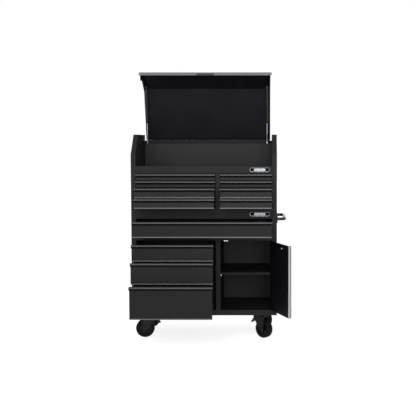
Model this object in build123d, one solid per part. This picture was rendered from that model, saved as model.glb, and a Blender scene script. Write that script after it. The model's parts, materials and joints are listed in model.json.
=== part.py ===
from build123d import *
import math
import os

# A rolling tool cabinet with a tool chest on top, in millimetres, +Z up.
# While it is built, X = 0 is the casing's middle, Y = 0 its front face and Z = 0 the floor.
# At the end everything moves sideways, so that the origin is under the middle of the whole
# box that the object fills as it stands, with its drawers, door and lid open.

# Casing
body_width = 1168.0
body_depth = 622.0
sheet = 1.2
side_thick = 38.0
left_bay_width = 638.0
centre_width = 38.0
rail_depth = 25.0
reveal = 4.0
underside = 196.0
bottom_rail_height = 44.0
mid_rail_height = 42.0
cabinet_header_height = 75.0
chest_sill_height = 11.0
chest_header_height = 59.0
chest_shoulder_height = 90.0
chest_slope_run = 177.0
chest_slope_rise = 162.0
back_drop = 48.0

# Clearances
running_gap = 0.3
pin_gap = 0.05

# Drawers: heights from the bottom up, and how far each stands open
lower_heights = (252.0, 166.0, 130.0)
lower_open = (448.0, 365.0, 301.0)
wide_height = 124.0
wide_open = 260.0
chest_heights = (77.0, 77.0, 51.0, 52.0)
chest_left_open = (142.0, 100.0, 16.0, 6.0)
chest_right_open = (142.0, 100.0, 16.0, 6.0)
drawer_sheet = 1.0
front_thick = 18.0
front_bevel = 9.0
tray_back_gap = 36.0
tray_floor_lift = 6.0
tray_top_drop = 12.0
hem_height = 7.0
hem_width = 3.5

# Drawer slides
slide_space = 13.0
slide_length = 560.0
slide_start = 22.0
slide_height = 28.0
slide_metal = 1.5
slide_lip = 8.0

# Pulls
pull_reach = 22.0
pull_height = 28.0
pull_bevel = 7.5
pull_lip = 15.0
pull_metal = 2.5
pull_overhang = 3.0
pull_cap = 3.0

# Lid
lid_width = 1065.0
lid_pull_width = 1085.0
lid_open = 72.0
lid_skirt = 45.0
lid_return = 12.0
lid_rim_gap = 2.0
lid_rear_skirt = 32.0
lid_hinge_x = (-400.0, 0.0, 400.0)
lid_hinge_length = 80.0
lid_hinge_drop = 38.0

# Lid struts
strut_plane = 505.0
strut_low_y = 470.0
strut_low_z = 62.0
strut_high_y = 139.5
strut_high_z = 92.0
rod_radius = 4.0
rod_length = 270.0
tube_radius = 9.0
tube_length = 285.0
tube_start = 15.0
eye_size = 20.0
eye_thick = 9.0
stud_radius = 5.0
stud_flange_radius = 12.0
stud_flange = 3.0
stud_end = 7.0

# Door
door_thick = 12.0
door_open = 110.0
door_pull_reach = 11.0
door_pull_width = 24.0
door_hinge_length = 70.0
door_hinge_inset = 60.0
door_axis_inset = 1.5
door_leaf_gap = 0.8
strike_radius = 9.0
strike_thick = 3.0
strike_from_hinge = 280.0
strike_drop = 32.0
catch_length = 34.0
catch_height = 9.0
catch_depth = 20.0
catch_inset = 22.0

# Hinge knuckles
knuckle_radius = 4.5
hinge_pin_radius = 2.5
leaf_thick = 1.5
leaf_width = 30.0
leaf_start = 6.0

# Compartment shelf
shelf_height = 285.0
shelf_fold = 15.0
shelf_clip = 10.0

# Side handle
handle_height = 971.0
handle_front = 72.0
handle_back = 518.0
handle_reach = 76.0
handle_radius = 12.5
handle_bend = 32.0
bracket_thick = 5.0
bracket_height = 62.0
bracket_width = 44.0

# Badge plates
badge_width = 160.0
badge_height = 34.0
badge_thick = 2.0
badge_corner = 16.5
badge_side_gap = 20.0

# Casters
wheel_radius = 75.0
wheel_width = 45.0
tyre_thick = 15.0
tyre_chamfer = 5.0
rim_width = 38.0
rim_thick = 8.0
web_thick = 14.0
hub_radius = 15.0
axle_radius = 6.0
axle_nut = 9.0
axle_nut_height = 6.0
caster_x = 445.0
caster_inset = 105.0
caster_trail = 46.0
plate_length = 140.0
plate_width = 110.0
plate_thick = 5.0
plate_bolt_edge = 15.0
bolt_radius = 6.5
bolt_height = 4.0
kingpin_radius = 8.0
kingpin_head_radius = 14.0
kingpin_head = 4.0
race_radius = 34.0
race_height = 14.0
crown_thick = 6.0
crown_front = 42.0
crown_back = 66.0
leg_thick = 4.0
leg_gap = 3.5
leg_end = 16.0
pedal_width = 40.0
pedal_reach = 80.0
pedal_drop = 56.0
pedal_thick = 6.0
pedal_pin_x = 34.0
pedal_pin_drop = 8.0
pedal_pin_radius = 3.0
pedal_barrel_radius = 6.0
caster_headings = {"front_left": 180.0, "front_right": -40.0, "rear_left": 180.0, "rear_right": -40.0}
front_channel_width = 150.0

# Places worked out from the sizes
body_left = -body_width / 2
body_right = body_width / 2
inner_left = body_left + side_thick
inner_right = body_right - side_thick
centre_left = inner_left + left_bay_width
centre_right = centre_left + centre_width
bay_floor = underside + bottom_rail_height
mid_rail_low = bay_floor + sum(lower_heights) + (len(lower_heights) + 1) * reveal
mid_rail_high = mid_rail_low + mid_rail_height
cabinet_header_low = mid_rail_high + wide_height + 2 * reveal
seam = cabinet_header_low + cabinet_header_height
chest_bay_low = seam + chest_sill_height
chest_header_low = chest_bay_low + sum(chest_heights) + (len(chest_heights) + 1) * reveal
chest_rim = chest_header_low + chest_header_height
chest_shoulder = chest_rim + chest_shoulder_height
chest_peak = chest_shoulder + chest_slope_rise
back_inner = body_depth - sheet
lid_axis_y = back_inner - knuckle_radius
lid_axis_z = chest_peak - lid_hinge_drop
door_axis_x = inner_right - door_axis_inset
door_axis_y = -knuckle_radius - door_leaf_gap
door_left = centre_right + reveal
door_right = inner_right - reveal
door_low = bay_floor + reveal
door_high = mid_rail_low - reveal
shelf_top = bay_floor + shelf_height + shelf_fold

nodes = {}


def block(x0, x1, y0, y1, z0, z1):
    """A box from its lowest to its highest corner."""
    return Pos((x0 + x1) / 2, (y0 + y1) / 2, (z0 + z1) / 2) * Box(x1 - x0, y1 - y0, z1 - z0)


def along_x(outline, x0, x1):
    """A straight bar whose (y, z) outline runs from x0 to x1."""
    plane = Plane(origin=(x0, 0, 0), x_dir=(0, 1, 0), z_dir=(1, 0, 0))
    face = plane * make_face(Polyline(*outline, close=True))
    return extrude(face, amount=x1 - x0, dir=(1, 0, 0))


def along_y(outline, y0, y1):
    """A straight bar whose (x, z) outline runs from y0 to y1."""
    plane = Plane(origin=(0, y0, 0), x_dir=(1, 0, 0), z_dir=(0, -1, 0))
    face = plane * make_face(Polyline(*outline, close=True))
    return extrude(face, amount=y1 - y0, dir=(0, 1, 0))


def along_z(outline, z0, z1):
    """A straight bar whose (x, y) outline runs from z0 to z1."""
    face = Plane.XY.offset(z0) * make_face(Polyline(*outline, close=True))
    return extrude(face, amount=z1 - z0, dir=(0, 0, 1))


def rod_x(radius, x0, x1, y, z):
    """A round rod along X."""
    return extrude(Plane(origin=(x0, y, z), z_dir=(1, 0, 0)) * Circle(radius), amount=x1 - x0)


def rod_y(radius, y0, y1, x, z):
    """A round rod along Y."""
    return extrude(Plane(origin=(x, y0, z), z_dir=(0, 1, 0)) * Circle(radius), amount=y1 - y0)


def rod_z(radius, z0, z1, x, y):
    """A round rod along Z."""
    return extrude(Plane(origin=(x, y, z0), z_dir=(0, 0, 1)) * Circle(radius), amount=z1 - z0)


def moved_line(points, distance):
    """An open line moved sideways, to the left of its direction, with mitred corners."""
    normals = []
    for (a0, b0), (a1, b1) in zip(points, points[1:]):
        length = math.hypot(a1 - a0, b1 - b0)
        normals.append((-(b1 - b0) / length, (a1 - a0) / length))
    moved = []
    for index, (a, b) in enumerate(points):
        before = normals[max(index - 1, 0)]
        after = normals[min(index, len(normals) - 1)]
        share = distance / (1 + before[0] * after[0] + before[1] * after[1])
        moved.append((a + (before[0] + after[0]) * share, b + (before[1] + after[1]) * share))
    return moved


def band(points, near, far):
    """The outline between an open line moved by near and the same line moved by far."""
    return moved_line(points, near) + moved_line(points, far)[::-1]


def group(*pieces):
    """Separate solids that share one node."""
    solids = [solid for piece in pieces for solid in piece.solids()]
    return Compound(solids)


def turned(shape, axis, degrees):
    """The shape turned about an axis, by the right-hand rule."""
    return shape.rotate(axis, degrees)


# Casing of the rolling cabinet
def hollow_side(outline, outer_x, inner_x):
    """A double-walled side panel with this (y, z) outline, hollow inside and open below."""
    low_x = min(outer_x, inner_x)
    high_x = max(outer_x, inner_x)
    panel = along_x(outline, low_x, high_x)
    front_edges = panel.edges().filter_by(Axis.Z).filter_by_position(Axis.Y, -1, 1)
    outer_edge = front_edges.sort_by(Axis.X)[0 if outer_x < inner_x else -1]
    panel = chamfer(outer_edge, sheet)
    return panel - along_x(moved_line(outline, -sheet), low_x + sheet, high_x - sheet)


cabinet_outline = [(0, underside), (0, seam), (body_depth, seam), (body_depth, underside)]
nodes["cabinet_sides"] = group(
    hollow_side(cabinet_outline, body_left, inner_left),
    hollow_side(cabinet_outline, body_right, inner_right),
)
nodes["cabinet_back"] = block(inner_left, inner_right, back_inner, body_depth, underside, seam)
nodes["cabinet_top"] = block(inner_left, inner_right, rail_depth, back_inner, seam - sheet, seam)


def channel(x0, x1, z0, z1):
    """A front rail: a folded channel, open at the back."""
    return block(x0, x1, 0, rail_depth, z0, z1) - block(x0, x1, sheet, rail_depth, z0 + sheet, z1 - sheet)


nodes["cabinet_front_frame"] = group(
    channel(inner_left, inner_right, underside, bay_floor),
    channel(inner_left, inner_right, mid_rail_low, mid_rail_high),
    channel(inner_left, inner_right, cabinet_header_low, seam),
)


def partition(z0, z1, front_y):
    """The double-walled centre panel, with the centre post as its front face."""
    outline = [
        (centre_left, back_inner),
        (centre_left, front_y),
        (centre_right, front_y),
        (centre_right, back_inner),
    ]
    return along_z(outline, z0, z1) - along_z(moved_line(outline, sheet), z0, z1)


nodes["cabinet_divider"] = partition(bay_floor, mid_rail_low, 0)


def caster_channel(y):
    """A hat channel across the cabinet's underside, which a pair of casters bolts to."""
    y0 = y - front_channel_width / 2
    y1 = y + front_channel_width / 2
    top = bay_floor - sheet
    beam = block(inner_left, inner_right, y0, y1, underside, top)
    return beam - block(inner_left, inner_right, y0 + sheet, y1 - sheet, underside + sheet, top)


caster_rows = {"front": caster_inset, "rear": body_depth - caster_inset}
nodes["cabinet_floor"] = group(
    block(inner_left, inner_right, rail_depth, back_inner, bay_floor - sheet, bay_floor),
    *[caster_channel(y) for y in caster_rows.values()],
)

# Compartment shelf, a folded pan on four clips
shelf_front = rail_depth
shelf_pan = block(centre_right, inner_right, shelf_front, back_inner, shelf_top - shelf_fold, shelf_top)
shelf_hollow = block(
    centre_right + sheet,
    inner_right - sheet,
    shelf_front + sheet,
    back_inner - sheet,
    shelf_top - shelf_fold,
    shelf_top - sheet,
)
clip_low = shelf_top - shelf_fold - shelf_clip
clips = []
for clip_x in (centre_right, inner_right - shelf_clip):
    for clip_y in (shelf_front, back_inner - 2 * shelf_clip):
        clip_end = clip_y + 2 * shelf_clip
        clips.append(block(clip_x, clip_x + shelf_clip, clip_y, clip_end, clip_low, clip_low + shelf_clip))
nodes["compartment_shelf"] = group(shelf_pan - shelf_hollow, *clips)

# Casing of the chest
chest_outline = [
    (0, seam),
    (0, chest_shoulder),
    (chest_slope_run, chest_peak),
    (body_depth, chest_peak),
    (body_depth, seam),
]
nodes["chest_sides"] = group(
    hollow_side(chest_outline, body_left, inner_left),
    hollow_side(chest_outline, body_right, inner_right),
)
nodes["chest_back"] = block(inner_left, inner_right, back_inner, body_depth, seam, chest_peak - back_drop)
nodes["chest_floors"] = group(
    block(inner_left, inner_right, rail_depth, back_inner, seam, seam + sheet),
    block(inner_left, inner_right, rail_depth, back_inner, chest_header_low, chest_header_low + sheet),
)
nodes["chest_front_frame"] = group(
    channel(inner_left, inner_right, seam, chest_bay_low),
    channel(inner_left, inner_right, chest_header_low, chest_rim),
)
nodes["chest_divider"] = partition(chest_bay_low, chest_header_low, 0)


# Drawers
def pull_outline(y, z, flip=1):
    """The (y, z) outline of a pull whose back is at y and whose upper edge is at z."""
    nose = pull_reach - pull_bevel
    slope = pull_metal * math.tan(math.pi / 8)
    points = [
        (0, 0),
        (-nose, 0),
        (-pull_reach, -pull_bevel),
        (-pull_reach, -pull_lip),
        (-pull_reach + pull_metal, -pull_lip),
        (-pull_reach + pull_metal, -pull_bevel - slope),
        (-nose + slope, -pull_metal),
        (-pull_metal, -pull_metal),
        (-pull_metal, -pull_height),
        (0, -pull_height),
    ]
    return [(y + a, z + flip * b) for a, b in points]


def pull_cap_outline(y, z, flip=1):
    """The (y, z) outline of the closed end of a pull."""
    corners = [
        (0, 0),
        (-pull_reach + pull_bevel, 0),
        (-pull_reach, -pull_bevel),
        (-pull_reach, -pull_lip),
        (0, -pull_height),
    ]
    return [(y + a, z + flip * b) for a, b in corners]


def pull(x0, x1, y, z, flip=1):
    """A full-width pull with its two end caps. Its upper edge is at z, or its lower where flipped."""
    bar = along_x(pull_outline(y, z, flip), x0, x1)
    left_cap = along_x(pull_cap_outline(y, z, flip), x0, x0 + pull_cap)
    right_cap = along_x(pull_cap_outline(y, z, flip), x1 - pull_cap, x1)
    return bar + left_cap + right_cap


def drawer_front(x0, x1, y, z0, z1):
    """A double-skinned drawer front with a bevelled lower edge, open below."""
    back = y + front_thick
    line = [(back, z0), (back, z1), (y, z1), (y, z0 + front_bevel), (y + front_bevel, z0)]
    skin = along_x(band(line, 0, drawer_sheet), x0, x1)
    return skin + along_x(line, x0, x0 + drawer_sheet) + along_x(line, x1 - drawer_sheet, x1)


def drawer_tray(x0, x1, y0, y1, z0, z1):
    """The open box behind a drawer front, with a folded hem along its sides and back."""
    tray = block(x0, x1, y0, y1, z0, z0 + drawer_sheet)
    tray += block(x0, x0 + drawer_sheet, y0, y1, z0, z1)
    tray += block(x1 - drawer_sheet, x1, y0, y1, z0, z1)
    tray += block(x0, x1, y1 - drawer_sheet, y1, z0, z1)
    tray += block(x0, x0 + hem_width, y0, y1, z1 - hem_height, z1)
    tray += block(x1 - hem_width, x1, y0, y1, z1 - hem_height, z1)
    tray += block(x0, x1, y1 - hem_width, y1, z1 - hem_height, z1)
    return tray


def slide_member(wall_x, inwards, y0, z, height, depth):
    """A C-shaped slide member whose web stands on wall_x and whose lips point inwards."""
    web = sorted((wall_x, wall_x + inwards * slide_metal))
    reach = sorted((wall_x, wall_x + inwards * depth))
    y1 = y0 + slide_length
    member = block(*web, y0, y1, z, z + height)
    member += block(*reach, y0, y1, z, z + slide_metal)
    member += block(*reach, y0, y1, z + height - slide_metal, z + height)
    return member


fixed_slides = {"cabinet": [], "chest": []}
inner_height = slide_height - 2 * slide_metal - 2 * running_gap


def add_drawer(name, section, bay_x0, bay_x1, z0, height, opened):
    """Adds a drawer, its pull and its slides."""
    z1 = z0 + height
    x0 = bay_x0 + reveal
    x1 = bay_x1 - reveal
    tray_x0 = bay_x0 + slide_space
    tray_x1 = bay_x1 - slide_space
    tray_z0 = z0 + tray_floor_lift
    tray_z1 = z1 - tray_top_drop
    body = drawer_front(x0, x1, -opened, z0, z1)
    tray_y1 = body_depth - tray_back_gap - opened
    body += drawer_tray(tray_x0, tray_x1, front_thick - opened, tray_y1, tray_z0, tray_z1)
    slide_z = (tray_z0 + tray_z1 - slide_height) / 2
    inner_z = slide_z + slide_metal + running_gap
    inner_y = slide_start - opened
    members = [
        slide_member(tray_x0, -1, inner_y, inner_z, inner_height, slide_lip),
        slide_member(tray_x1, 1, inner_y, inner_z, inner_height, slide_lip),
    ]
    nodes[f"drawer_{name}"] = group(body, *members)
    nodes[f"pull_{name}"] = pull(x0 - pull_overhang, x1 + pull_overhang, -opened, z1)
    fixed_start = rail_depth + running_gap
    fixed_slides[section].append(slide_member(bay_x0, 1, fixed_start, slide_z, slide_height, slide_lip))
    fixed_slides[section].append(slide_member(bay_x1, -1, fixed_start, slide_z, slide_height, slide_lip))


def stack(low, heights):
    """The lower edge of each drawer in a stack."""
    edges = []
    z = low + reveal
    for height in heights:
        edges.append(z)
        z += height + reveal
    return edges


for row, z in enumerate(stack(bay_floor, lower_heights)):
    number = len(lower_heights) - row
    add_drawer(f"cabinet_{number}", "cabinet", inner_left, centre_left, z, lower_heights[row], lower_open[row])
add_drawer("cabinet_wide", "cabinet", inner_left, inner_right, mid_rail_high + reveal, wide_height, wide_open)
for row, z in enumerate(stack(chest_bay_low, chest_heights)):
    number = len(chest_heights) - row
    height = chest_heights[row]
    add_drawer(f"chest_left_{number}", "chest", inner_left, centre_left, z, height, chest_left_open[row])
    add_drawer(f"chest_right_{number}", "chest", centre_right, inner_right, z, height, chest_right_open[row])
nodes["cabinet_slide_rails"] = group(*fixed_slides["cabinet"])
nodes["chest_slide_rails"] = group(*fixed_slides["chest"])


# Hinges: three knuckles on a pin, the middle one on the moving leaf
def hinge(length, leaf_from, leaf_to):
    """A hinge along Z at the origin, closed flat along X, with its leaves' backs at y = knuckle_radius.

    Returns the fixed part on +X, the moving part on -X and the pin."""
    knuckle = length / 3
    leaf_y0 = knuckle_radius - leaf_thick
    hole = rod_z(hinge_pin_radius + pin_gap, -length, length, 0, 0)
    fixed = block(leaf_from, leaf_to, leaf_y0, knuckle_radius, -length / 2, length / 2)
    moving = block(-leaf_to, -leaf_from, leaf_y0, knuckle_radius, -length / 2, length / 2)
    spans = (
        (-length / 2, -length / 2 + knuckle - running_gap),
        (length / 2 - knuckle + running_gap, length / 2),
    )
    for z0, z1 in spans:
        fixed += block(0, leaf_from, leaf_y0, knuckle_radius, z0, z1)
        fixed += rod_z(knuckle_radius, z0, z1, 0, 0)
    half = knuckle / 2
    moving += block(-leaf_from, 0, leaf_y0, knuckle_radius, -half, half)
    moving += rod_z(knuckle_radius, -half, half, 0, 0)
    pin = rod_z(hinge_pin_radius, -length / 2, length / 2, 0, 0)
    return fixed - hole, moving - hole, pin


lid_axis = Axis((0, lid_axis_y, lid_axis_z), (1, 0, 0))
door_axis = Axis((door_axis_x, door_axis_y, 0), (0, 0, 1))
root_hardware = []
lid_hardware = []
door_hardware = []

lid_leaf_to = lid_hinge_drop - sheet - running_gap
for x in lid_hinge_x:
    lower_leaf, upper_leaf, pin = hinge(lid_hinge_length, leaf_start, lid_leaf_to)
    place = Plane(origin=(x, lid_axis_y, lid_axis_z), x_dir=(0, 0, -1), z_dir=(1, 0, 0)).location
    root_hardware += [place * lower_leaf, place * pin]
    lid_hardware.append(place * upper_leaf)

door_leaf_y = door_axis_y + knuckle_radius
for z in (door_low + door_hinge_inset, door_high - door_hinge_inset):
    post_leaf, door_leaf, pin = hinge(door_hinge_length, leaf_start, leaf_width)
    place = Pos(door_axis_x, door_axis_y, z)
    spacer_z = (z - door_hinge_length / 2, z + door_hinge_length / 2)
    leaf_x0 = door_axis_x + leaf_start
    leaf_x1 = door_axis_x + leaf_width
    post_spacer = block(leaf_x0, leaf_x1, door_leaf_y, 0, *spacer_z)
    door_spacer = block(2 * door_axis_x - leaf_x1, 2 * door_axis_x - leaf_x0, door_leaf_y, 0, *spacer_z)
    root_hardware += [place * post_leaf + post_spacer, place * pin]
    door_hardware.append(place * door_leaf + door_spacer)

# Lid, built closed and then turned open: the bent panel, and a folded skirt closing each end
lid_line = [
    (body_depth, chest_peak - lid_rear_skirt),
    (body_depth, chest_peak),
    (chest_slope_run, chest_peak),
    (0, chest_shoulder),
    (0, chest_rim + lid_rim_gap),
]
lid_half = lid_width / 2
lid_panel = along_x(band(lid_line, 0, sheet), -lid_half, lid_half)
lid_pieces = [lid_panel, *lid_hardware]
skirt_line = [(back_inner, chest_peak), *lid_line[2:]]
for sign in (-1, 1):
    skirt_span = sorted((sign * lid_half, sign * (lid_half - sheet)))
    return_span = sorted((sign * lid_half, sign * (lid_half - lid_return)))
    skirt = along_x(band(skirt_line, sheet, lid_skirt), *skirt_span)
    skirt += along_x(band(skirt_line, lid_skirt - sheet, lid_skirt), *return_span)
    lid_pieces.append(skirt)

# Lid struts. The rods turn on studs in the chest's sides, and the tubes meet studs on the lid
strut_low = (strut_low_y, chest_peak - strut_low_z)
strut_high_closed = (strut_high_y, chest_peak - strut_high_z)
lid_turn = math.radians(lid_open)
arm = (strut_high_closed[0] - lid_axis_y, strut_high_closed[1] - lid_axis_z)
strut_high = (
    lid_axis_y + arm[0] * math.cos(lid_turn) + arm[1] * math.sin(lid_turn),
    lid_axis_z - arm[0] * math.sin(lid_turn) + arm[1] * math.cos(lid_turn),
)
strut_open_length = math.dist(strut_low, strut_high)
strut_closed_length = math.dist(strut_low, strut_high_closed)
strut_open_angle = math.degrees(math.atan2(strut_high[1] - strut_low[1], strut_high[0] - strut_low[0]))
closed_run = strut_high_closed[0] - strut_low[0]
closed_rise = strut_high_closed[1] - strut_low[1]
strut_closed_angle = math.degrees(math.atan2(closed_rise, closed_run)) % 360


def strut(x):
    """The rod and the tube of a strut in the plane at x, standing along the open strut."""
    half = eye_thick / 2
    place = Plane(origin=(x, *strut_low), x_dir=(1, 0, 0), z_dir=(0, strut_high[0] - strut_low[0],
                                                                strut_high[1] - strut_low[1])).location
    eye = block(-half, half, -eye_size / 2, eye_size / 2, -eye_size / 2, eye_size / 2)
    rod = eye + rod_z(rod_radius, 0, rod_length, 0, 0)
    rod -= rod_x(stud_radius + pin_gap, -half, half, 0, 0)
    top = strut_open_length
    tube_end = top - tube_start
    tube_low = tube_end - tube_length
    tube = rod_z(tube_radius, tube_low, tube_end, 0, 0)
    tube -= rod_z(rod_radius + pin_gap, tube_low, tube_end - tube_start, 0, 0)
    tube += block(-half, half, -eye_size / 2, eye_size / 2, top - eye_size, top + eye_size / 2)
    return place * rod, place * tube


for side, sign in (("left", -1), ("right", 1)):
    rod, tube = strut(sign * strut_plane)
    nodes[f"strut_rod_{side}"] = rod
    nodes[f"strut_tube_{side}"] = tube
    wall = sign * inner_right
    wall_span = sorted((wall, sign * (strut_plane - stud_end)))
    flange_span = sorted((wall, wall - sign * stud_flange))
    wall_stud = rod_x(stud_radius, *wall_span, *strut_low)
    root_hardware.append(wall_stud + rod_x(stud_flange_radius, *flange_span, *strut_low))
    lid_wall = sign * (lid_half - sheet)
    lid_span = sorted((lid_wall, sign * (strut_plane + eye_thick / 2 + running_gap)))
    lid_pieces.append(rod_x(stud_radius, *lid_span, *strut_high_closed))

nodes["lid_shell"] = group(*[turned(piece, lid_axis, -lid_open) for piece in lid_pieces])
lid_pull = pull(-lid_pull_width / 2, lid_pull_width / 2, 0, chest_rim + lid_rim_gap, flip=-1)
nodes["lid_pull"] = turned(lid_pull, lid_axis, -lid_open)

# Door, built closed and then turned open
door = block(door_left, door_right, 0, door_thick, door_low, door_high)
door -= block(
    door_left + sheet,
    door_right - sheet,
    sheet,
    door_thick - sheet,
    door_low,
    door_high - sheet,
)
strike_x = door_axis_x - strike_from_hinge
strike = rod_y(strike_radius, door_thick, door_thick + strike_thick, strike_x, door_high - strike_drop)
grip_nose = door_pull_reach / 2
grip_outline = [
    (door_left, 0),
    (door_left, -door_pull_reach),
    (door_left + grip_nose, -door_pull_reach),
    (door_left + door_pull_width, -pull_metal),
    (door_left + door_pull_width, 0),
]
grip = along_z(grip_outline, door_low, door_high)
nodes["door_panel"] = group(*[turned(piece, door_axis, door_open) for piece in [door, strike, *door_hardware]])
nodes["door_pull"] = turned(grip, door_axis, door_open)
catch_x = door_left + catch_inset
catch_y = door_thick + strike_thick
catch = block(catch_x, catch_x + catch_length, catch_y, catch_y + catch_depth, mid_rail_low - catch_height, mid_rail_low)
nodes["hinges_studs_and_catch"] = group(*root_hardware, catch)

# Side handle: a bent tube on two brackets
tube_x = body_right + handle_reach - handle_radius
bracket_x = body_right + bracket_thick
handle_path = FilletPolyline(
    (bracket_x, handle_front, handle_height),
    (tube_x, handle_front, handle_height),
    (tube_x, handle_back, handle_height),
    (bracket_x, handle_back, handle_height),
    radius=handle_bend,
)
handle_section = Plane(origin=handle_path @ 0, z_dir=handle_path % 0) * Circle(handle_radius)
brackets = []
for y in (handle_front, handle_back):
    half_width = bracket_width / 2
    half_height = bracket_height / 2
    z_span = (handle_height - half_height, handle_height + half_height)
    plate = block(body_right, bracket_x, y - half_width, y + half_width, *z_span)
    brackets.append(chamfer(plate.edges().filter_by(Axis.X), bracket_thick))
nodes["side_handle"] = group(sweep(handle_section, path=handle_path), *brackets)

# Badge plates, blank
badge_x1 = inner_right - badge_side_gap
badges = []
for z0, z1 in ((cabinet_header_low, seam), (chest_header_low, chest_rim)):
    middle = (z0 + z1) / 2
    span = (middle - badge_height / 2, middle + badge_height / 2)
    plate = block(badge_x1 - badge_width, badge_x1, -badge_thick, 0, *span)
    badges.append(fillet(plate.edges().filter_by(Axis.Y), badge_corner))
nodes["badge_plates"] = group(*badges)

# Casters. Each is built with its swivel axis on Z and its wheel trailing towards +X
plate_low = underside - plate_thick
crown_high = plate_low - running_gap - race_height
crown_low = crown_high - crown_thick
leg_inner = wheel_width / 2 + leg_gap
leg_outer = leg_inner + leg_thick
pedal_pin_z = crown_low - pedal_pin_drop


def caster_plate():
    """The top plate with its kingpin, and four bolts."""
    plate = block(-plate_length / 2, plate_length / 2, -plate_width / 2, plate_width / 2, plate_low, underside)
    head_high = crown_low - running_gap
    plate += rod_z(kingpin_radius, head_high, plate_low, 0, 0)
    plate += rod_z(kingpin_head_radius, head_high - kingpin_head, head_high, 0, 0)
    bolts = []
    for sign_x in (-1, 1):
        for sign_y in (-1, 1):
            x = sign_x * (plate_length / 2 - plate_bolt_edge)
            y = sign_y * (plate_width / 2 - plate_bolt_edge)
            head = Plane.XY.offset(plate_low - bolt_height) * Pos(x, y) * RegularPolygon(bolt_radius, 6)
            bolts.append(extrude(head, amount=bolt_height))
    return [plate, *bolts]


def caster_fork():
    """The fork, its axle and the pedal's pin."""
    leg_points = [
        (-crown_front, crown_high),
        (crown_back, crown_high),
        (caster_trail + leg_end, wheel_radius - leg_end),
        (caster_trail - leg_end, wheel_radius - leg_end),
        (-pedal_pin_x, pedal_pin_z - leg_end),
        (-crown_front, pedal_pin_z - pedal_barrel_radius),
    ]
    fork = block(-crown_front, crown_back, -leg_outer, leg_outer, crown_low, crown_high)
    fork += rod_z(race_radius, crown_high, crown_high + race_height, 0, 0)
    for y0, y1 in ((-leg_outer, -leg_inner), (leg_inner, leg_outer)):
        fork += along_y(leg_points, y0, y1)
    fork -= rod_z(kingpin_radius + pin_gap, crown_low, plate_low, 0, 0)
    fork -= rod_y(axle_radius + pin_gap, -leg_outer, leg_outer, caster_trail, wheel_radius)
    fork -= rod_y(pedal_pin_radius + pin_gap, -leg_outer, leg_outer, -pedal_pin_x, pedal_pin_z)
    axle = rod_y(axle_radius, -leg_outer, leg_outer, caster_trail, wheel_radius)
    for y0, y1 in ((-leg_outer - axle_nut_height, -leg_outer), (leg_outer, leg_outer + axle_nut_height)):
        axle += rod_y(axle_nut, y0, y1, caster_trail, wheel_radius)
    pedal_pin = rod_y(pedal_pin_radius, -leg_outer, leg_outer, -pedal_pin_x, pedal_pin_z)
    return [fork, axle, pedal_pin]


def caster_wheel():
    """The rim with its hub, and the tyre round it."""
    rim_radius = wheel_radius - tyre_thick
    rim_inner = rim_radius - rim_thick
    hub_half = leg_inner - running_gap
    bore = axle_radius + pin_gap
    half = wheel_width / 2
    rim_half = rim_width / 2
    web_half = web_thick / 2
    tyre_profile = [
        (rim_radius, -half),
        (wheel_radius - tyre_chamfer, -half),
        (wheel_radius, -half + tyre_chamfer),
        (wheel_radius, half - tyre_chamfer),
        (wheel_radius - tyre_chamfer, half),
        (rim_radius, half),
    ]
    rim_profile = [
        (bore, -hub_half),
        (hub_radius, -hub_half),
        (hub_radius, -web_half),
        (rim_inner, -web_half),
        (rim_inner, -rim_half),
        (rim_radius, -rim_half),
        (rim_radius, rim_half),
        (rim_inner, rim_half),
        (rim_inner, web_half),
        (hub_radius, web_half),
        (hub_radius, hub_half),
        (bore, hub_half),
    ]
    pieces = []
    for profile in (tyre_profile, rim_profile):
        ring = revolve(make_face(Polyline(*profile, close=True)), Axis.Y)
        pieces.append(Pos(caster_trail, 0, wheel_radius) * ring)
    return pieces


def caster_pedal():
    """The brake pedal on its barrel."""
    half = pedal_width / 2
    lever = [
        (-pedal_pin_x, pedal_pin_z + pedal_barrel_radius),
        (-pedal_pin_x - pedal_barrel_radius, pedal_pin_z + pedal_barrel_radius),
        (-pedal_reach, crown_high - pedal_drop),
        (-pedal_reach + pedal_thick, crown_high - pedal_drop - pedal_thick),
        (-pedal_pin_x, pedal_pin_z - pedal_barrel_radius),
    ]
    pedal = along_y(lever, -half, half) + rod_y(pedal_barrel_radius, -half, half, -pedal_pin_x, pedal_pin_z)
    return pedal - rod_y(pedal_pin_radius + pin_gap, -half, half, -pedal_pin_x, pedal_pin_z)


plates = []
for corner, heading in caster_headings.items():
    row, side = corner.split("_")
    swivel = Pos(-caster_x if side == "left" else caster_x, caster_rows[row], 0)
    steered = swivel * Rot(0, 0, heading)
    plates += [swivel * piece for piece in caster_plate()]
    nodes[f"caster_fork_{corner}"] = group(*[steered * piece for piece in caster_fork()])
    nodes[f"caster_wheel_{corner}"] = group(*[steered * piece for piece in caster_wheel()])
    if row == "front":
        nodes[f"brake_pedal_{corner}"] = steered * caster_pedal()
nodes["caster_plates"] = group(*plates)

# The origin goes under the middle of the open object
boxes = [shape.bounding_box() for shape in nodes.values()]
middle_x = (min(box.min.X for box in boxes) + max(box.max.X for box in boxes)) / 2
middle_y = (min(box.min.Y for box in boxes) + max(box.max.Y for box in boxes)) / 2
os.makedirs("parts", exist_ok=True)
for name, shape in nodes.items():
    placed = Pos(-middle_x, -middle_y, 0) * shape
    export_step(placed, f"parts/{name}.step")
print(f"{len(nodes)} nodes, origin at X {middle_x:.3f}, Y {middle_y:.3f} of the casing")
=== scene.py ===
import json
import math

import bmesh
import bpy
from mathutils import Matrix, Vector

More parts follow.
